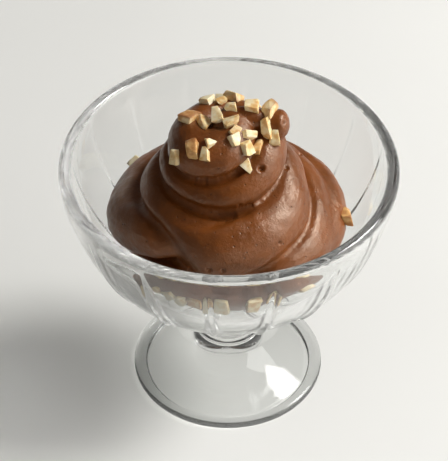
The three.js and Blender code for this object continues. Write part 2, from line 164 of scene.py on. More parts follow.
# Chopped hazelnuts. Crown nuts: kind, azimuth, elevation, length, and for the ones that show
# best their width in lengths, how far their upper end draws in, and their turn clockwise from
# the way that leads back and up the slope. Ring nuts have a height in place of the elevation.
# Widths, tapers and thicknesses that no nut states are drawn from the ranges here.
NUT_SEED = 41
NUT_SINK = 0.34
NUT_WIDE = (0.6, 0.95)
NUT_TAPER = (0, 0.7)
NUT_THICKNESS = (0.55, 0.75)
NUT_THICKEST = 3.2
NUT_CORNER_DRAW = 0.62
NUT_TILT = 20
NUT_TURN_FROM = (0, 1, 1)
NUT_GAP = 0.3
NUT_RAY_START = 100
CROWN_CENTRE_HEIGHT = 88
CROWN_NUTS = [
    ("roasted", -98, 47, 7.2, 0.8, 0.3, 28),
    ("pale", -74, 57, 7, 0.9, 0.8, -150),
    ("pale", -148, 44, 4.6, 0.85, 0.2, 30),
    ("pale", -87, 77, 6.6, 0.6, 0.4, -31),
    ("pale", -165, 50, 3.6, 0.85, 0.3, 60),
    ("pale", 165, 84, 4.6, 0.9, 0.15, 10),
    ("roasted", 173, 38, 7.6, 0.8, 0.3, 60),
    ("pale", 104, 67, 5.3, 0.95, 0.1, 5),
    ("roasted", 99, 51, 7, 0.75, 0.35, 26),
    ("pale", 9, 76, 5.8, 0.72, 0.3, 70),
    ("roasted", 13, 62, 3.9, 0.85, 0.2, 40),
    ("pale", 8, 52, 4.4, 0.9, 0.3, 160),
    ("pale", 38, 55, 4.9, 0.62, 0.15, 102),
    ("pale", 77.8, 47, 8.4, 0.42, 0.4, 0),
    ("pale", 75.5, 32, 6.2, 0.6, 0.15, -3),
    ("roasted", -42, 35, 6.6, 0.7, 0.25, 172),
    ("pale", -27, 36, 5.2, 0.55, 0.3, 4),
    ("pale", -24, 47, 4, 0.9, 0.9, 80),
    ("pale", -55, 21, 5, 0.66, 0.1, 14),
    ("pale", 27, 42, 5.3, 0.9, 0.3, -30),
    ("roasted", 53, 35, 5.6, 0.65, 0.4, 12),
    ("pale", 24, 19, 9, 0.65, 0.9, 140),
    ("pale", 140, 46, 4.2),
    ("pale", -172, 24, 4.4),
    ("roasted", 152, 20, 3.8),
    ("pale", -152, 10, 4),
]
RING_NUTS = [
    ("pale", -43, 54.2, 5, 0.85, 0.2, 20),
    ("pale", -34.5, 54, 5.8, 0.85, 0.15, -10),
    ("pale", -27.5, 53.8, 5.6, 0.8, 0.3, 30),
    ("roasted", -18.5, 54, 7.2, 0.8, 0.3, 95),
    ("pale", -5.6, 54.2, 9, 0.76, 0.2, 0),
    ("pale", 13.8, 54.2, 9, 0.62, 0.35, 175),
    ("pale", 25.5, 55.6, 6, 0.6, 0.2, 5),
    ("pale", 42.5, 58.6, 6.6, 0.75, 0.2, 20),
    ("roasted", 87, 64.4, 6.4, 0.8, 0.3, 40),
    ("pale", 118, 56, 4),
    ("pale", 141, 57, 4.6),
    ("roasted", 163, 60.5, 3.8),
    ("pale", -168, 62.5, 4.4),
    ("pale", -146, 60, 4),
    ("pale", -128, 64, 4.8, 0.9, 0.15, 0),
]

# The fine form of a nut: chipped corners, a rounded skin side and a rough broken surface. Chip
# depths are shares of the nut's depth, the edge's width is a share of its length, and angles are
# in degrees.
CHIP_SEED = 7
CHIPS = 3
CHIP_DEPTH = (0.06, 0.2)
NUT_FLAT_ANGLE = 8
NUT_EDGE = 0.055
NUT_EDGE_SEGMENTS = 2
NUT_EDGE_PROFILE = 0.6
NUT_SKIN_RADIUS = 6.5
NUT_SKIN_FADE = 0.5
NUT_ROUGHNESS = 0.07
NUT_ROUGHNESS_SIZE = 0.8
NUT_ROUGHNESS_CUTS = 2
NUT_NOISE_REACH = 50
NUT_SHARP_ANGLE = 38


# ---------------------------------------------------------------- shapes

def bezier(points, count):
    """Points along a Bezier curve of any order, both ends included."""
    t = np.linspace(0, 1, count)[:, None]
    level = [np.broadcast_to(np.array(p, float), (count, len(p))) for p in points]
    while len(level) > 1:
        level = [(1 - t) * a + t * b for a, b in zip(level, level[1:])]
    return level[0]


def arc(centre, radius, start, end, count):
    """Points on an arc in the (radius, height) plane, angles in degrees."""
    angle = np.radians(np.linspace(start, end, count))
    return np.stack([centre[0] + radius * np.cos(angle), centre[1] + radius * np.sin(angle)], 1)


def smoothstep(value, low, high):
    t = np.clip((value - low) / (high - low), 0, 1)
    return t * t * (3 - 2 * t)


def outward_direction(azimuth, elevation):
    azimuth, elevation = math.radians(azimuth), math.radians(elevation)
    across = math.cos(elevation)
    return Vector((across * math.sin(azimuth), -across * math.cos(azimuth), math.sin(elevation)))


def around_axis(radius, height, angle):
    """Points at radii, heights and angles in radians from the front towards the right."""
    return np.stack([radius * np.sin(angle), -radius * np.cos(angle), height + 0 * angle], -1)


def full_circle(count):
    """Angles in radians, evenly round a circle."""
    return np.linspace(0, 2 * math.pi, count, endpoint=False)


def new_object(name, data):
    """A new object in the scene that holds a mesh, a lamp or a camera."""
    obj = bpy.data.objects.new(name, data)
    bpy.context.scene.collection.objects.link(obj)
    return obj


def shade_smooth(mesh):
    mesh.polygons.foreach_set("use_smooth", [True] * len(mesh.polygons))


def mesh_object(name, vertices, faces):
    """A new smooth object from vertices in millimetres."""
    mesh = bpy.data.meshes.new(name)
    mesh.from_pydata([tuple(v) for v in np.asarray(vertices) * MM], [], faces)
    mesh.update()
    shade_smooth(mesh)
    return new_object(name, mesh)


def grid_faces(rows, columns):
    """Quads of a grid whose rows are closed rings."""
    faces = []
    for i in range(rows - 1):
        for j in range(columns):
            k = (j + 1) % columns
            a = i * columns
            b = a + columns
            faces.append((a + j, a + k, b + k, b + j))
    return faces


def capped_grid_faces(rows, columns):
    """Faces of such a grid with one flat face over each end."""
    last = (rows - 1) * columns
    caps = [tuple(reversed(range(columns))), tuple(range(last, last + columns))]
    return grid_faces(rows, columns) + caps


def poled_grid_faces(rows, columns):
    """Faces of such a grid drawn together at each end to a pole, the two vertices after it."""
    faces = grid_faces(rows, columns)
    last = (rows - 1) * columns
    first_pole = rows * columns
    for j in range(columns):
        k = (j + 1) % columns
        faces.append((k, j, first_pole))
        faces.append((last + j, last + k, first_pole + 1))
    return faces


# ---------------------------------------------------------------- glass coupe

def bowl_radius(height, rim_radius, depth):
    """The bowl's radius at a height, outside or inside by the rim radius and depth given."""
    fall = np.maximum(0, (RIM_HEIGHT - height) / depth)
    return rim_radius * np.maximum(0, 1 - fall ** BOWL_RISE_POWER) ** (1 / BOWL_SIDE_POWER)


def below_bowl_profile():
    """The foot's hollow, its ring and edge, the flare, the waist and the collar bead."""
    hollow = bezier(
        [
            (0, FOOT_HOLLOW_HEIGHT),
            (FOOT_RING_RADIUS * HOLLOW_FULLNESS, FOOT_HOLLOW_HEIGHT),
            (FOOT_RING_RADIUS - HOLLOW_STEP_WIDTH, HOLLOW_STEP),
            (FOOT_RING_RADIUS, 0),
        ],
        HOLLOW_POINTS,
    )
    edge_centre = (FOOT_RADIUS - FOOT_EDGE_BEAD, FOOT_EDGE_BEAD)
    edge = arc(edge_centre, FOOT_EDGE_BEAD, -90, 90, FOOT_EDGE_POINTS)
    flare = bezier(
        [
            (edge[-1][0] - FOOT_DIP_WIDTH, edge[-1][1] - FOOT_DIP),
            *FLARE,
            (WAIST_RADIUS, WAIST_HEIGHT),
        ],
        FLARE_POINTS,
    )
    bead_centre = (COLLAR_RADIUS - COLLAR_BEAD, COLLAR_HEIGHT)
    bead = arc(bead_centre, COLLAR_BEAD, -90, 90, COLLAR_POINTS)
    return np.concatenate([hollow, edge, flare, bead, [STEM_TOP]])


def bowl_outside_profile():
    """The bowl from the top of its stem to the rim: a sweep outwards, then the side."""
    bottom_radius = float(bowl_radius(BOWL_BOTTOM, RIM_RADIUS, BOWL_DEPTH_SCALE))
    sweep = (bottom_radius - FLOOR_SWEEP, BOWL_BOTTOM - FLOOR_SWEEP * FLOOR_SLOPE)
    floor = bezier([STEM_TOP, sweep, (bottom_radius, BOWL_BOTTOM)], FLOOR_POINTS)[1:]
    height = np.linspace(BOWL_BOTTOM, RIM_HEIGHT, OUTSIDE_POINTS)[1:]
    side = np.stack([bowl_radius(height, RIM_RADIUS, BOWL_DEPTH_SCALE), height], 1)
    return np.concatenate([floor, side])


def bowl_inside_profile():
    """The rounded lip and the cavity down to its middle, with points crowded towards the bottom."""
    lip = arc((RIM_RADIUS - LIP_RADIUS, RIM_HEIGHT), LIP_RADIUS, 0, 180, LIP_POINTS)[1:]
    fall = np.sin(np.linspace(0, math.pi / 2, INSIDE_POINTS))[1:] ** INSIDE_SPREAD
    height = RIM_HEIGHT - CAVITY_DEPTH * fall
    side = np.stack([bowl_radius(height, CAVITY_RIM_RADIUS, CAVITY_DEPTH), height], 1)
    side[-1][0] = 0
    return np.concatenate([lip, side])


def flute_depth(azimuth, height):
    """How deep the flutes are pressed at an azimuth and a height."""
    pitch = 360 / FLUTE_COUNT
    past_ridge = np.mod(azimuth - FLUTE_TURN, pitch)
    from_ridge = np.minimum(past_ridge, pitch - past_ridge)
    ridge = np.exp(-(from_ridge / RIDGE_HALF_WIDTH) ** 2)
    shallow = FLUTE_DEPTH * (1 - smoothstep(height, FLUTE_TOP - FLUTE_FADE, FLUTE_TOP))
    deepening = FLUTE_DEEPENING * (1 - smoothstep(height, FLUTE_DEEP_BELOW, FLUTE_DEEP_FROM))
    above_bottom = smoothstep(height, FLUTE_BOTTOM, FLUTE_BOTTOM + FLUTE_RUN_IN)
    return (shallow + deepening) * (1 - ridge) * above_bottom


def segment_azimuths():
    """Azimuths of the glass's segments, crowded at the ridges between the flutes."""
    flutes = np.arange(FLUTE_COUNT * SEGMENTS_PER_FLUTE) / SEGMENTS_PER_FLUTE
    flutes = flutes - RIDGE_CROWDING * np.sin(2 * math.pi * flutes)
    return FLUTE_TURN + flutes * 360 / FLUTE_COUNT


def glass_coupe():
    """The glass: its profile turned round the axis, with the flutes pressed into the outside."""
    below = below_bowl_profile()
    outside = bowl_outside_profile()
    profile = np.concatenate([below, outside, bowl_inside_profile()])
    azimuth = segment_azimuths()
    tangent = np.zeros_like(profile)
    tangent[1:-1] = profile[2:] - profile[:-2]
    tangent[1:-1] /= np.linalg.norm(tangent[1:-1], axis=1)[:, None]
    pressed = np.zeros(len(profile))
    pressed[len(below):len(below) + len(outside)] = 1
    depth = flute_depth(azimuth[None, :], profile[:, 1][:, None]) * pressed[:, None]
    radius = profile[:, 0][:, None] - depth * tangent[:, 1][:, None]
    height = profile[:, 1][:, None] + depth * tangent[:, 0][:, None]
    rings = around_axis(radius, height, np.radians(azimuth)[None, :])[1:-1]
    poles = [(0, 0, profile[0][1]), (0, 0, profile[-1][1])]
    vertices = np.concatenate([rings.reshape(-1, 3), poles])
    coupe = mesh_object("pressed_glass", vertices, poled_grid_faces(len(rings), len(azimuth)))
    coupe.data.set_sharp_from_angle(angle=math.radians(GLASS_SHARP_ANGLE))
    return coupe


# ---------------------------------------------------------------- mousse

def rope_values(quarter):
    """Reach, height and half thickness at quarter turns: a cubic through the stations."""
    at = ROPE[:, 0]
    values = ROPE[:, 1:]
    slope = np.empty_like(values)
    slope[1:-1] = (values[2:] - values[:-2]) / (at[2:] - at[:-2])[:, None]
    slope[0] = (values[1] - values[0]) / (at[1] - at[0])
    slope[-1] = (values[-1] - values[-2]) / (at[-1] - at[-2])
    i = np.clip(np.searchsorted(at, quarter, side="right") - 1, 0, len(at) - 2)
    span = (at[i + 1] - at[i])[:, None]
    s = ((quarter - at[i]) / span[:, 0])[:, None]
    start = (2 * s**3 - 3 * s**2 + 1) * values[i] + (s**3 - 2 * s**2 + s) * span * slope[i]
    end = (3 * s**2 - 2 * s**3) * values[i + 1] + (s**3 - s**2) * span * slope[i + 1]
    return start + end


def rope_path():
    """Quarter turns, centres and half thicknesses along the rope."""
    first, last = ROPE[0, 0], ROPE[-1, 0]
    quarter = np.linspace(first, last, int((last - first) * ROPE_STEPS_PER_QUARTER) + 1)
    reach, height, half = rope_values(quarter).T
    return quarter, around_axis(reach - half, height, quarter * math.pi / 2), half


def section_axes(centre):
    """Outward and upward directions of the sections along a path."""
    along = np.gradient(centre, axis=0)
    along /= np.linalg.norm(along, axis=1)[:, None]
    outward = np.cross(along, (0, 0, 1))
    outward /= np.linalg.norm(outward, axis=1)[:, None]
    return outward, np.cross(outward, along)


def tube(centre, half):
    """Vertices and faces of a closed tube with round sections."""
    outward, above = section_axes(centre)
    angle = full_circle(ROPE_SIDES)
    rings = (
        centre[:, None]
        + (half[:, None] * np.cos(angle))[..., None] * outward[:, None]
        + (half[:, None] * np.sin(angle))[..., None] * above[:, None]
    )
    return rings.reshape(-1, 3), capped_grid_faces(len(centre), ROPE_SIDES)


def ball(centre, half):
    """Vertices and faces of a ball, or of an ellipsoid where half is three numbers."""
    polar = np.linspace(0, math.pi, BALL_ROWS + 1)[1:-1]
    angle = full_circle(ROPE_SIDES)
    rings = np.stack(
        [
            np.sin(polar)[:, None] * np.cos(angle),
            np.sin(polar)[:, None] * np.sin(angle),
            -np.cos(polar)[:, None] + 0 * angle,
        ],
        -1,
    ).reshape(-1, 3)
    vertices = np.concatenate([rings, [(0, 0, -1), (0, 0, 1)]]) * half + np.array(centre)
    return vertices, poled_grid_faces(len(polar), ROPE_SIDES)


def heart():
    """Vertices and faces of the solid heart."""
    radius, height = np.array(HEART, float).T[..., None]
    rings = around_axis(radius, height, full_circle(ROPE_SIDES))
    return rings.reshape(-1, 3), capped_grid_faces(len(HEART), ROPE_SIDES)


def swirl_blank():
    """The rope, tail and heart merged into one even skin."""
    _, centre, half = rope_path()
    tail_path = bezier([TAIL_START, TAIL_BEND, TAIL_END], TAIL_POINTS)
    bodies = [
        tube(centre, half),
        ball(centre[-1], half[-1]),
        tube(tail_path, np.full(TAIL_POINTS, TAIL_HALF)),
        ball(STUB_CENTRE, STUB_HALF),
        heart(),
    ]
    vertices, faces = [], []
    for body_vertices, body_faces in bodies:
        offset = sum(len(v) for v in vertices)
        vertices.append(body_vertices)
        faces.extend(tuple(offset + i for i in face) for face in body_faces)
    rough = mesh_object("mousse_rough", np.concatenate(vertices), faces)
    remesh = rough.modifiers.new("skin", "REMESH")
    remesh.mode = "VOXEL"
    remesh.voxel_size = VOXEL * MM
    remesh.use_smooth_shade = True
    smooth = rough.modifiers.new("soften", "SMOOTH")
    smooth.iterations = SKIN_SMOOTHING
    depsgraph = bpy.context.evaluated_depsgraph_get()
    mesh = bpy.data.meshes.new_from_object(rough.evaluated_get(depsgraph))
    bpy.data.objects.remove(rough)
    return mesh


# Relief of the mousse in millimetres: lumps, ripples and grain, each with its height, its size
# and the seed of its noise, and streaks along the rope.
LUMPS, RIPPLES, GRAIN = (0.45, 11, 1), (0.13, 3.6, 2), (0.07, 1.5, 4)
STREAK_HEIGHT, STREAK_WIDTH, STREAK_LENGTH = 0.07, 1.1, 16
STREAK_SEED = 3

# Creases where one coil lies on another, at least so many quarter turns further on. They and the
# fold are evened out over neighbouring vertices a few times.
COIL_APART = 2.2
CREASE_DEPTH, CREASE_WIDTH = 2.1, 1.5
EVENING_ROUNDS = 4

# On the right the coils run into each other between these azimuths, and their creases are shallow.
MELTED_FROM, MELTED_TO = 8, 150
MELTED_SOFTNESS = 22
MELTED_SHARE = 0.3

# The fold on the belly: where the upper part sinks in, by quarter turn and section angle. Its
# softness, in degrees of section angle, and its depth change from its start to its end. The
# softness reaches a few times farther above the lip than below it.
FOLD_START, FOLD_END = 7.25, 8.08
FOLD_LOW_ANGLE, FOLD_RISE = 39, 42
FOLD_POWER = 2.5
FOLD_DEPTH = 1.1
FOLD_FIRST_SHARE = 0.25
FOLD_SOFT_START, FOLD_SOFT_END = 16, 7
FOLD_SOFT_RATIO = 3
FOLD_FADE_IN = 0.3
FOLD_FADE_OUT_BEFORE, FOLD_FADE_OUT_AFTER = 0.03, 0.05

# Open bubbles: the point on the skin nearest to each, and its radius. Their depth is in radii.
BUBBLE_DEPTH = 1.3
BUBBLE_STEEPNESS = 4
BUBBLES = [
    (9.3, -12.1, 92.2, 0.9),
    (3.2, -18.5, 83.4, 0.6),
    (-5.7, -29.4, 68.3, 0.75),
    (-1.7, -30, 68.7, 0.65),
    (15.6, -1.7, 100.7, 0.5),
    (16.9, -3, 84.6, 0.6),
    (21.4, 14.9, 74.2, 0.7),
    (14.7, -23.7, 73.9, 0.55),
]


def coordinates(mesh):
    """The vertices' places in millimetres."""
    values = np.empty(len(mesh.vertices) * 3)
    mesh.vertices.foreach_get("co", values)
    return values.reshape(-1, 3) / MM


def vertex_normals(mesh):
    values = np.empty(len(mesh.vertices) * 3)
    mesh.vertex_normals.foreach_get("vector", values)
    return values.reshape(-1, 3)


def rope_coordinates(points):
    """Of the nearest coil: quarter turn, angle round the section, distance along and half thickness.

    The last value is how much farther away the next coil's skin is, which is 0 in a crease.
    """
    quarter, centre, half = rope_path()
    outward, above = section_axes(centre)
    length = np.concatenate([[0], np.cumsum(np.linalg.norm(np.diff(centre, axis=0), axis=1))])
    nearest = np.empty(len(points), int)
    farther = np.empty(len(points))
    batch = 4000
    for start in range(0, len(points), batch):
        part = points[start:start + batch]
        gap = np.linalg.norm(part[:, None] - centre[None], axis=2) - half[None]
        own = gap.argmin(1)
        others = np.abs(quarter[None] - quarter[own][:, None]) > COIL_APART
        nearest[start:start + batch] = own
        farther[start:start + batch] = np.where(others, gap, np.inf).min(1) - gap.min(1)
    offset = points - centre[nearest]
    angle = np.arctan2((offset * above[nearest]).sum(1), (offset * outward[nearest]).sum(1))
    return quarter[nearest], np.degrees(angle), length[nearest], half[nearest], farther


# How far apart in the noise the fields of two seeds lie.
SEED_SHIFT = (17.3, 5.1, 11.7)


def noise_field(points, size, seed):
    """Smooth noise from about -1 to 1 whose bumps are size millimetres across."""
    shift = Vector([seed * step for step in SEED_SHIFT])
    return np.array([noise.noise(Vector(p) / size + shift) for p in points])


def fold_relief(quarter, angle):
    """The upper belly sinks in behind a lip that climbs to a notch under the next coil."""
    share = np.clip((quarter - FOLD_START) / (FOLD_END - FOLD_START), 0, 1)
    lip = FOLD_LOW_ANGLE + FOLD_RISE * share ** FOLD_POWER
    softness = FOLD_SOFT_START + (FOLD_SOFT_END - FOLD_SOFT_START) * share
    sunk = smoothstep(angle, lip - softness / FOLD_SOFT_RATIO, lip + softness)
    begun = smoothstep(quarter, FOLD_START - FOLD_FADE_IN, FOLD_START + FOLD_FADE_IN)
    ended = smoothstep(quarter, FOLD_END - FOLD_FADE_OUT_BEFORE, FOLD_END + FOLD_FADE_OUT_AFTER)
    here = begun * (1 - ended)
    depth = FOLD_DEPTH * (FOLD_FIRST_SHARE + (1 - FOLD_FIRST_SHARE) * share)
    return -depth * sunk * here


def crease_relief(points, farther):
    """Height of the creases between the coils."""
    azimuth = np.degrees(np.arctan2(points[:, 0], -points[:, 1]))
    melted = smoothstep(azimuth, MELTED_FROM, MELTED_FROM + MELTED_SOFTNESS)
    melted = melted * (1 - smoothstep(azimuth, MELTED_TO, MELTED_TO + MELTED_SOFTNESS))
    depth = CREASE_DEPTH * (1 - (1 - MELTED_SHARE) * melted)
    return -depth * np.exp(-(farther / CREASE_WIDTH) ** 2)


def bubble_relief(points):
    """Height of the open bubbles, round-bottomed pits in the skin."""
    height = np.zeros(len(points))
    for *centre, radius in BUBBLES:
        distance = np.linalg.norm(points - centre, axis=1)
        height -= BUBBLE_DEPTH * radius * np.exp(-(distance / radius) ** BUBBLE_STEEPNESS)
    return height


def evened(mesh, values, rounds):
    """Values at the vertices, averaged with their neighbours a few times."""
    edges = np.empty(len(mesh.edges) * 2, int)
    mesh.edges.foreach_get("vertices", edges)
    a, b = edges.reshape(-1, 2).T
    count = np.bincount(a, minlength=len(values)) + np.bincount(b, minlength=len(values))
    for _ in range(rounds):
        total = np.bincount(a, values[b], len(values)) + np.bincount(b, values[a], len(values))
        values = (values + total / count) / 2
    return values


def rest_height(radius):
    """Height of the bowl's inside at a radius."""
    height = np.linspace(CAVITY_BOTTOM, RIM_HEIGHT, REST_POINTS)
    inside = bowl_radius(height, CAVITY_RIM_RADIUS, CAVITY_DEPTH)
    return np.interp(radius, inside, height)


def sculpt(mesh):
    """Gives the even skin its relief, and keeps its underside on the glass."""
    points = coordinates(mesh)
    normals = vertex_normals(mesh)
    quarter, angle, along, half, farther = rope_coordinates(points)
    height = np.zeros(len(points))
    for relief, size, seed in (LUMPS, RIPPLES, GRAIN):
        height += relief * noise_field(points, size, seed)
    around = np.radians(angle) * half
    lanes = np.stack([around / STREAK_WIDTH, along / STREAK_LENGTH, quarter], 1)
    height += STREAK_HEIGHT * noise_field(lanes, 1, STREAK_SEED)
    sunk = crease_relief(points, farther) + fold_relief(quarter, angle)
    height += evened(mesh, sunk, EVENING_ROUNDS)
    height += bubble_relief(points)
    points = points + normals * height[:, None]
    floor = rest_height(np.hypot(points[:, 0], points[:, 1])) - SETTLE_INTO_GLASS
    points[:, 2] = np.maximum(points[:, 2], floor)
    mesh.vertices.foreach_set("co", (points * MM).ravel())
    mesh.update()


def mousse_swirl():
    mesh = swirl_blank()
    sculpt(mesh)
    mesh.name = "mousse_swirl"
    return new_object("mousse_swirl", mesh)


# ---------------------------------------------------------------- hazelnuts

class SeededRandom:
    """A linear congruential generator, with the same draws as in the part's source."""

    MULTIPLIER = 1664525
    INCREMENT = 1013904223
    MODULUS = 2**32

    def __init__(self, seed):
        self.state = seed

    def __call__(self):
        self.state = (self.state * self.MULTIPLIER + self.INCREMENT) % self.MODULUS
        return self.state / self.MODULUS

    def between(self, low, high):
        return low + (high - low) * self()


def nut_corners(shape, random):
    """Corners, thickness and turn of one chunk: a tapered box's corners, drawn in at random."""
    drawn = (random.between(*NUT_WIDE), random.between(*NUT_TAPER), 360 * random())
    length = shape[0]
    wide, taper, turn = shape[1:] or drawn
    thickness = min(NUT_THICKEST, length * random.between(*NUT_THICKNESS))
    corners = []
    for x in (-0.5, 0.5):
        spread = 1 - taper if x > 0 else 1
        for y in (-0.5, 0.5):
            for z in (-0.5, 0.5):
                along = x * length * random.between(NUT_CORNER_DRAW, 1)
                aside = y * length * wide * spread * random.between(NUT_CORNER_DRAW, 1)
                above = z * thickness * math.sqrt(spread) * random.between(NUT_CORNER_DRAW, 1)
                corners.append(Vector((along, aside, above)))
    return corners, thickness, turn


def random_direction(random):
    height = random.between(-1, 1)
    angle = 2 * math.pi * random()
    across = math.sqrt(1 - height * height)
    return Vector((across * math.cos(angle), across * math.sin(angle), height))


def chip(chunk, direction, depth):
    """Cuts a flat chip off the side of a chunk that faces a direction."""
    far = max(vertex.co.dot(direction) for vertex in chunk.verts)
    near = min(vertex.co.dot(direction) for vertex in chunk.verts)
    cut = bmesh.ops.bisect_plane(
        chunk, geom=chunk.verts[:] + chunk.edges[:] + chunk.faces[:],
        plane_co=direction * (far - depth * (far - near)), plane_no=direction, clear_outer=True,
    )
    rim = [edge for edge in cut["geom_cut"] if isinstance(edge, bmesh.types.BMEdge)]
    bmesh.ops.edgeloop_fill(chunk, edges=rim)


def nut_chunk(corners, length, chip_random):
    """The hull of a nut's corners, chipped, with softened edges and cut up finely enough to roughen."""
    chunk = bmesh.new()
    for corner in corners:
        chunk.verts.new(corner)
    hull = bmesh.ops.convex_hull(chunk, input=chunk.verts)
    inside = [item for item in hull["geom_interior"] if isinstance(item, bmesh.types.BMVert)]
    bmesh.ops.delete(chunk, geom=inside, context="VERTS")
    bmesh.ops.dissolve_limit(
        chunk, angle_limit=math.radians(NUT_FLAT_ANGLE), verts=chunk.verts, edges=chunk.edges,
    )
    for _ in range(CHIPS):
        chip(chunk, random_direction(chip_random), chip_random.between(*CHIP_DEPTH))
    bmesh.ops.bevel(
        chunk, geom=list(chunk.edges), affect="EDGES", offset_type="OFFSET", clamp_overlap=True,
        offset=NUT_EDGE * length, segments=NUT_EDGE_SEGMENTS, profile=NUT_EDGE_PROFILE,
    )
    bmesh.ops.triangulate(chunk, faces=chunk.faces)
    long_edges = [edge for edge in chunk.edges if edge.calc_length() > NUT_ROUGHNESS_SIZE]
    bmesh.ops.subdivide_edges(
        chunk, edges=long_edges, cuts=NUT_ROUGHNESS_CUTS, use_grid_fill=True,
    )
    bmesh.ops.triangulate(chunk, faces=chunk.faces)
    return chunk


def rough_up(chunk, chip_random):
    """Rounds the skin side, roughens the rest and marks where the skin is."""
    skin = chunk.verts.layers.float.new("nut_skin")
    facing = random_direction(chip_random)
    far = max(vertex.co.dot(facing) for vertex in chunk.verts)
    centre = facing * (far - NUT_SKIN_RADIUS)
    shift = random_direction(chip_random) * NUT_NOISE_REACH
    chunk.normal_update()
    for vertex in chunk.verts:
        gap = NUT_SKIN_RADIUS - (vertex.co - centre).length
        vertex[skin] = 1 - float(smoothstep(gap, 0, NUT_SKIN_FADE))
        if gap < 0:
            vertex.co += (vertex.co - centre).normalized() * gap
        wobble = noise.noise(vertex.co / NUT_ROUGHNESS_SIZE + shift)
        vertex.co += vertex.normal * (NUT_ROUGHNESS * wobble * (1 - vertex[skin]))


def bedded(place, normal, thickness, turn, tilt):
    """The move that turns a chunk on the surface, tilts it a little and beds it in."""
    aside = normal.cross(Vector(NUT_TURN_FROM)).normalized()
    upslope = aside.cross(normal)
    basis = Matrix((upslope, aside, normal)).transposed().to_4x4()
    centre = place + normal * (thickness * (0.5 - NUT_SINK))
    spin = Matrix.Rotation(-math.radians(turn), 4, "Z")
    return Matrix.Translation(centre) @ basis @ Matrix.Rotation(tilt, 4, "X") @ spin


def nut_aims():
    """Kind, outward direction, centre height and shape of every nut."""
    for kind, azimuth, elevation, *shape in CROWN_NUTS:
        yield kind, outward_direction(azimuth, elevation), CROWN_CENTRE_HEIGHT, shape
    for kind, azimuth, height, *shape in RING_NUTS:
        yield kind, outward_direction(azimuth, 0), height, shape


def keep_inside_bowl(chunk):
    """Moves the vertices of a bedded nut that reach into the glass back to the bowl's inside."""
    for vertex in chunk.verts:
        height = vertex.co.z / MM
        if height < RIM_HEIGHT:
            radius = math.hypot(vertex.co.x, vertex.co.y) / MM
            room = float(bowl_radius(height, CAVITY_RIM_RADIUS, CAVITY_DEPTH)) - NUT_GAP
            if radius > room:
                vertex.co.xy *= room / radius


def bedded_nut(outward, height, shape, tree, random, chip_random):
    """One finished nut in metres, where a ray from outside meets the mousse."""
    place, normal, _, _ = tree.ray_cast(Vector((0, 0, height)) + outward * NUT_RAY_START, -outward)
    corners, thickness, turn = nut_corners(shape, random)
    tilt = math.radians(NUT_TILT) * random.between(-1, 1)
    chunk = nut_chunk(corners, shape[0], chip_random)
    rough_up(chunk, chip_random)
    tone = chunk.verts.layers.float.new("nut_tone")
    shade = chip_random()
    for vertex in chunk.verts:
        vertex[tone] = shade
    chunk.transform(Matrix.Scale(MM, 4) @ bedded(place, normal, thickness, turn, tilt))
    keep_inside_bowl(chunk)
    return chunk


def hazelnuts(mousse):
    """One joined mesh for each kind of nut piece, by kind."""
    random, chip_random = SeededRandom(NUT_SEED), SeededRandom(CHIP_SEED)
    tree = BVHTree.FromPolygons(
        [v.co / MM for v in mousse.data.vertices], [tuple(p.vertices) for p in mousse.data.polygons],
    )
    heaps = {"pale": bmesh.new(), "roasted": bmesh.new()}
    for heap in heaps.values():
        heap.verts.layers.float.new("nut_tone")
        heap.verts.layers.float.new("nut_skin")
    for kind, outward, height, shape in nut_aims():
        chunk = bedded_nut(outward, height, shape, tree, random, chip_random)
        mesh = bpy.data.meshes.new("chunk")
        chunk.to_mesh(mesh)
        chunk.free()
        heaps[kind].from_mesh(mesh)
        bpy.data.meshes.remove(mesh)
    pieces = {}
    for kind, heap in heaps.items():
        name = f"hazelnut_{kind}"
        mesh = bpy.data.meshes.new(name)
        heap.to_mesh(mesh)
        heap.free()
        shade_smooth(mesh)
        mesh.set_sharp_from_angle(angle=math.radians(NUT_SHARP_ANGLE))
        pieces[kind] = new_object(name, mesh)
    return pieces


# ---------------------------------------------------------------- materials

def node_math(tree, operation, first, second):
    """The output of a new math node in a node tree."""
    made = tree.nodes.new("ShaderNodeMath")
    made.operation = operation
    for socket, value in enumerate((first, second)):
        if isinstance(value, bpy.types.NodeSocket):
            tree.links.new(value, made.inputs[socket])
        else:
            made.inputs[socket].default_value = value
    return made.outputs[0]


# A Mix node's sockets where it mixes colours.
MIX_FACTOR, MIX_FIRST, MIX_SECOND, MIX_RESULT = 0, 6, 7, 2


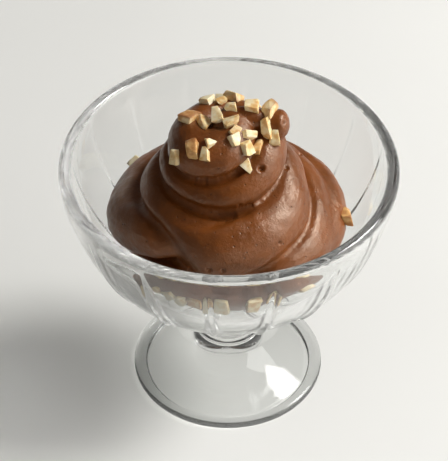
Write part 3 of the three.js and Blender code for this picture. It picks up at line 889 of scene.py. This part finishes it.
class Shader:
    """A material whose nodes are added and linked by name."""

    def __init__(self, name):
        self.material = bpy.data.materials.new(name)
        self.material.use_nodes = True
        self.tree = self.material.node_tree
        self.surface = self.tree.nodes["Principled BSDF"]

    def node(self, kind, settings=None, **inputs):
        """A new node. Settings are its properties; inputs are values or output sockets."""
        made = self.tree.nodes.new(f"ShaderNode{kind}")
        for key, value in (settings or {}).items():
            setattr(made, key, value)
        for key, value in inputs.items():
            self.feed(made, key.replace("_", " "), value)
        return made

    def feed(self, node, socket, value):
        """Sets a socket to a value, or links an output to it."""
        target = node.inputs[socket]
        if isinstance(value, bpy.types.NodeSocket):
            self.tree.links.new(value, target)
        else:
            target.default_value = value

    def set(self, **inputs):
        """Sets or links the Principled shader's own sockets."""
        for key, value in inputs.items():
            self.feed(self.surface, key.replace("_", " "), value)

    def place(self):
        """The surface's own coordinates, in metres."""
        return self.node("TexCoord").outputs["Object"]

    def noise(self, place, size_mm, detail=3, roughness=0.5):
        return self.node(
            "TexNoise", Vector=place, Scale=1 / (size_mm * MM), Detail=detail, Roughness=roughness,
        ).outputs["Fac"]

    def ramp(self, factor, stops):
        """A colour ramp from (position, colour) stops."""
        made = self.node("ValToRGB", Fac=factor)
        elements = made.color_ramp.elements
        while len(elements) < len(stops):
            elements.new(0.5)
        for element, (position, colour) in zip(elements, stops):
            element.position = position
            element.color = (*colour, 1)
        return made.outputs["Color"]

    def spread(self, factor, low, high, to_low, to_high):
        """Maps the range from low to high to another, and holds it outside."""
        return self.node(
            "MapRange", Value=factor, From_Min=low, From_Max=high, To_Min=to_low, To_Max=to_high,
        ).outputs["Result"]

    def mix(self, factor, first, second):
        """A colour between two, by a factor from 0 to 1."""
        made = self.node("Mix", {"data_type": "RGBA"})
        for socket, value in ((MIX_FACTOR, factor), (MIX_FIRST, first), (MIX_SECOND, second)):
            self.feed(made, socket, value)
        return made.outputs[MIX_RESULT]

    def bump(self, height, distance_mm, strength=1.0, under=None):
        """A normal bent by a height, on top of the normal under it where there is one."""
        made = self.node("Bump", Height=height, Distance=distance_mm * MM, Strength=strength)
        if under is not None:
            self.feed(made, "Normal", under)
        return made.outputs["Normal"]


# Colours are linear RGB, with an alpha where a socket takes one.
GLASS_COLOUR = (0.99, 0.998, 0.993, 1)
GLASS_SHADOW_COLOUR = (0.97, 0.975, 0.97, 1)

MOUSSE_DARK = (0.12, 0.032, 0.0045)
MOUSSE_LIGHT = (0.205, 0.057, 0.009)
MOUSSE_SPECK = (0.3, 0.11, 0.03, 1)
# Painted shade: the near-black that the pores' middles are mixed towards, in place of the shade inside
# real hollows.
PAINTED_PORE_SHADE = (0.018, 0.007, 0.004, 1)
MOUSSE_SHEEN = (1, 0.87, 0.72, 1)

# Of each kind of nut piece: the colours of its patches with their places on the ramp, the colour
# of its skin, and how much of the skin shows.
NUT_LOOKS = {
    "pale": (
        [(0.35, (0.86, 0.76, 0.54)), (0.55, (0.80, 0.63, 0.35)), (0.72, (0.66, 0.39, 0.14))],
        (0.66, 0.42, 0.18, 1),
        0.5,
    ),
    "roasted": (
        [(0.3, (0.80, 0.62, 0.36)), (0.5, (0.68, 0.41, 0.16)), (0.7, (0.46, 0.20, 0.06))],
        (0.33, 0.13, 0.045, 1),
        0.85,
    ),
}

FLOOR_GREY = (0.79, 0.79, 0.77)
FLOOR_PALE = (0.83, 0.83, 0.81)


def glass_material():
    """Clear glass with faint waves, which lets lamp light straight through in shadow rays."""
    shader = Shader("pressed_glass")
    waves = shader.noise(shader.place(), size_mm=14, detail=1)
    shader.set(
        Base_Color=GLASS_COLOUR, Roughness=0.01, IOR=1.5, Transmission_Weight=1.0,
        Specular_IOR_Level=0.5, Normal=shader.bump(waves, distance_mm=0.08),
    )
    clear = shader.node("BsdfTransparent", Color=GLASS_SHADOW_COLOUR)
    shadow = shader.node("LightPath").outputs["Is Shadow Ray"]
    glass = shader.surface.outputs["BSDF"]
    lets_lamps_through = shader.node("MixShader")
    for socket, value in enumerate((shadow, glass, clear.outputs["BSDF"])):
        shader.tree.links.new(value, lets_lamps_through.inputs[socket])
    output = shader.tree.nodes["Material Output"]
    shader.tree.links.new(lets_lamps_through.outputs["Shader"], output.inputs["Surface"])
    return shader.material


def mousse_material():
    """Moist chocolate mousse: darker and lighter patches, pale specks, open pores darkened in their
    middles as painted shade, and fine grain.
    """
    shader = Shader("chocolate_mousse")
    place = shader.place()
    patches = shader.noise(place, size_mm=9, detail=4)
    colour = shader.ramp(patches, [(0.3, MOUSSE_DARK), (0.7, MOUSSE_LIGHT)])
    specks = shader.noise(place, size_mm=0.9, detail=2)
    pale_share = shader.spread(specks, low=0.62, high=0.75, to_low=0, to_high=0.35)
    colour = shader.mix(pale_share, colour, MOUSSE_SPECK)
    grain = shader.noise(place, size_mm=0.75, detail=3, roughness=0.6)
    fine = shader.noise(place, size_mm=0.3, detail=2)
    pore_spacing = 2.2 * MM
    pores = shader.node("TexVoronoi", Vector=place, Scale=1 / pore_spacing, Randomness=1.0)
    from_pore = pores.outputs["Distance"]
    pore_depth = shader.spread(from_pore, low=0.0, high=0.16, to_low=0, to_high=1)
    # Painted shade: each pore's middle is darkened towards the pore colour, on top of its bump.
    pore_shade_share = shader.spread(from_pore, low=0.05, high=0.15, to_low=0.6, to_high=0)
    colour = shader.mix(pore_shade_share, colour, PAINTED_PORE_SHADE)
    normal = shader.bump(pore_depth, distance_mm=0.25, strength=0.7)
    normal = shader.bump(grain, distance_mm=0.28, strength=0.5, under=normal)
    normal = shader.bump(fine, distance_mm=0.1, strength=0.4, under=normal)
    wetness = shader.noise(place, size_mm=2.5, detail=3)
    roughness = shader.spread(wetness, low=0.35, high=0.65, to_low=0.3, to_high=0.44)
    shader.set(
        Base_Color=colour, Roughness=roughness, Normal=normal, IOR=1.45,
        Specular_IOR_Level=0.9, Specular_Tint=MOUSSE_SHEEN,
        Subsurface_Weight=0.1, Subsurface_Radius=(1.0, 0.45, 0.25), Subsurface_Scale=0.8 * MM,
    )
    return shader.material


def nut_material(kind):
    """Broken nut in patches, each piece with its own tone, and browner on its skin side."""
    shader = Shader(f"hazelnut_{kind}")
    stops, skin_colour, skin_share = NUT_LOOKS[kind]
    place = shader.place()
    tone = shader.node("Attribute", {"attribute_name": "nut_tone"}).outputs["Fac"]
    skin = shader.node("Attribute", {"attribute_name": "nut_skin"}).outputs["Fac"]
    patches = shader.noise(place, size_mm=2.2, detail=2)
    tone_shift = shader.spread(tone, low=0, high=1, to_low=-0.12, to_high=0.12)
    colour = shader.ramp(node_math(shader.tree, "ADD", patches, tone_shift), stops)
    colour = shader.mix(node_math(shader.tree, "MULTIPLY", skin, skin_share), colour, skin_colour)
    grain = shader.noise(place, size_mm=0.5, detail=3)
    shader.set(
        Base_Color=colour, Roughness=0.55,
        Normal=shader.bump(grain, distance_mm=0.15, strength=0.5),
        Subsurface_Weight=0.25, Subsurface_Radius=(1.0, 0.7, 0.4), Subsurface_Scale=1.2 * MM,
    )
    return shader.material


def floor_material():
    """A plain pale surface, a little uneven in tone."""
    shader = Shader("pale_floor")
    clouds = shader.noise(shader.place(), size_mm=160, detail=2)
    colour = shader.ramp(clouds, [(0.3, FLOOR_GREY), (0.7, FLOOR_PALE)])
    shader.set(Base_Color=colour, Roughness=0.5)
    return shader.material


# ---------------------------------------------------------------- stage, lights and camera

# Half the floor's side in millimetres.
FLOOR_HALF = 4000

# Tells a count of bounces that is 0 from one that is 1 or more.
ANY_BOUNCE = 0.5

# How far in from its edges a soft-edged lamp has its full light: 0 is an edge and 1 the middle.
LAMP_EDGE = 0.9

# The height in millimetres that the lamps face.
LAMP_AIM_HEIGHT = 60

# The sky's strength: in the light it sheds on matte surfaces, in reflections, and behind glass.
SKY_COLOUR = (1, 0.99, 0.95, 1)
SKY_LIGHT = 0.2
SKY_IN_REFLECTIONS = 0.04
SKY_THROUGH_GLASS = 0.6


def floor_piece():
    signs = [(-1, -1), (1, -1), (1, 1), (-1, 1)]
    corners = [(x * FLOOR_HALF, y * FLOOR_HALF, 0) for x, y in signs]
    floor = mesh_object("floor", corners, [(0, 1, 2, 3)])
    floor.data.materials.append(floor_material())


def no_caustics(light):
    """Keeps a lamp's light that glass has bent off matte surfaces. Shadow rays still light them."""
    light.use_nodes = True
    tree = light.node_tree
    ray = tree.nodes.new("ShaderNodeLightPath")
    from_matte = node_math(tree, "GREATER_THAN", ray.outputs["Diffuse Depth"], ANY_BOUNCE)
    through_glass = node_math(tree, "GREATER_THAN", ray.outputs["Transmission Depth"], ANY_BOUNCE)
    bent = node_math(tree, "MULTIPLY", from_matte, through_glass)
    tree.links.new(node_math(tree, "SUBTRACT", 1, bent), tree.nodes["Emission"].inputs["Strength"])


def fade_across(tree, share):
    """Light that falls off smoothly towards both edges of a lamp, by its share of the way across."""
    # 4 * share * rest is 1 in the middle of the lamp and 0 at both edges.
    rest = node_math(tree, "SUBTRACT", 1, share)
    middle = node_math(tree, "MULTIPLY", node_math(tree, "MULTIPLY", share, rest), 4)
    ease = tree.nodes.new("ShaderNodeMapRange")
    ease.interpolation_type = "SMOOTHSTEP"
    ease.inputs["From Max"].default_value = LAMP_EDGE
    tree.links.new(middle, ease.inputs["Value"])
    return ease.outputs["Result"]


def soft_edges(light):
    """Fades a lamp towards its edges, so that glass doesn't show a hard-edged patch of it."""
    tree = light.node_tree
    place = tree.nodes.new("ShaderNodeNewGeometry").outputs["Parametric"]
    shares = tree.nodes.new("ShaderNodeSeparateXYZ")
    tree.links.new(place, shares.inputs["Vector"])
    fades = [fade_across(tree, shares.outputs[axis]) for axis in "XY"]
    strength = tree.nodes["Emission"].inputs["Strength"]
    light_so_far = strength.links[0].from_socket
    fade = node_math(tree, "MULTIPLY", *fades)
    tree.links.new(node_math(tree, "MULTIPLY", light_so_far, fade), strength)


def area_light(name, azimuth, elevation, distance, width, height, power, colour):
    """A rectangular soft light that faces the middle of the bowl, in metres and watts."""
    light = bpy.data.lights.new(name, "AREA")
    light.shape = "RECTANGLE"
    light.size = width
    light.size_y = height
    light.energy = power
    light.color = colour
    no_caustics(light)
    lamp = new_object(name, light)
    outward = outward_direction(azimuth, elevation)
    lamp.location = Vector((0, 0, LAMP_AIM_HEIGHT * MM)) + outward * distance
    lamp.rotation_euler = outward.to_track_quat("Z", "Y").to_euler()
    lamp.visible_camera = False
    return lamp


def sky():
    """A plain pale world, dimmer in reflections than in the light it sheds and behind clear glass."""
    world = bpy.data.worlds.new("studio")
    world.use_nodes = True
    tree = world.node_tree
    background = tree.nodes["Background"]
    background.inputs["Color"].default_value = SKY_COLOUR
    ray = tree.nodes.new("ShaderNodeLightPath")
    bounces = node_math(tree, "ADD", ray.outputs["Diffuse Depth"], ray.outputs["Glossy Depth"])
    straight = node_math(tree, "LESS_THAN", bounces, ANY_BOUNCE)
    through_glass = node_math(tree, "MULTIPLY", ray.outputs["Is Transmission Ray"], straight)
    from_matte = node_math(tree, "GREATER_THAN", ray.outputs["Diffuse Depth"], ANY_BOUNCE)
    shed = node_math(tree, "MULTIPLY", from_matte, SKY_LIGHT - SKY_IN_REFLECTIONS)
    seen = node_math(tree, "MULTIPLY", through_glass, SKY_THROUGH_GLASS - SKY_IN_REFLECTIONS)
    strength = node_math(tree, "ADD", node_math(tree, "ADD", shed, seen), SKY_IN_REFLECTIONS)
    tree.links.new(strength, background.inputs["Strength"])
    bpy.context.scene.world = world


def lights():
    """A window at the right, soft light from beside it, a weak fill from the front, and the sky."""
    window = area_light(
        "window", azimuth=104, elevation=45, distance=1.1, width=0.5, height=0.45,
        power=19.82, colour=(1.0, 0.985, 0.96),
    )
    soft_edges(window.data)
    area_light(
        "soft_side", azimuth=80, elevation=24, distance=1.2, width=1.1, height=0.9,
        power=10, colour=(1.0, 0.99, 0.97),
    )
    front_fill = area_light(
        "front_fill", azimuth=20, elevation=12, distance=1.2, width=0.8, height=0.5,
        power=2.3, colour=(1.0, 0.98, 0.95),
    )
    front_fill.visible_glossy = False
    sky()


# The camera's place in millimetres, its pitch below the horizon and its roll counterclockwise in
# degrees, its focal length for a view 461 pixels high, and its sensor in millimetres.
CAMERA_PLACE = (-1.38, -535.5, 557.6)
CAMERA_PITCH = 43.098
CAMERA_ROLL = 0.273
FOCAL_LENGTH_PIXELS = 2443.14
VIEW_LONG_SIDE_PIXELS = 461
SENSOR_WIDTH = 36
NEAREST_SEEN = 10


def camera():
    data = bpy.data.cameras.new("camera")
    data.sensor_width = SENSOR_WIDTH
    data.lens = FOCAL_LENGTH_PIXELS * SENSOR_WIDTH / VIEW_LONG_SIDE_PIXELS
    data.clip_start = NEAREST_SEEN * MM
    obj = new_object("camera", data)
    tip = Quaternion((1, 0, 0), math.radians(90 - CAMERA_PITCH))
    roll = Quaternion((0, 0, 1), math.radians(CAMERA_ROLL))
    obj.rotation_mode = "QUATERNION"
    obj.rotation_quaternion = tip @ roll
    obj.location = Vector(CAMERA_PLACE) * MM
    bpy.context.scene.camera = obj


# Enough bounces for light to find its way through the thick glass.
BOUNCES = 32
GLOSSY_BOUNCES = 16


def light_paths():
    cycles = bpy.context.scene.cycles
    cycles.max_bounces = BOUNCES
    cycles.transmission_bounces = BOUNCES
    cycles.glossy_bounces = GLOSSY_BOUNCES


# ---------------------------------------------------------------- assembly

camera()
floor_piece()
lights()
light_paths()
bpy.context.scene.view_settings.view_transform = "Standard"

coupe = glass_coupe()
coupe.data.materials.append(glass_material())
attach(coupe, "root")
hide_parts("glass_coupe")

swirl = mousse_swirl()
swirl.data.materials.append(mousse_material())
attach(swirl, "root")
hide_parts("mousse")

for kind, piece in hazelnuts(swirl).items():
    piece.data.materials.append(nut_material(kind))
    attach(piece, "root")
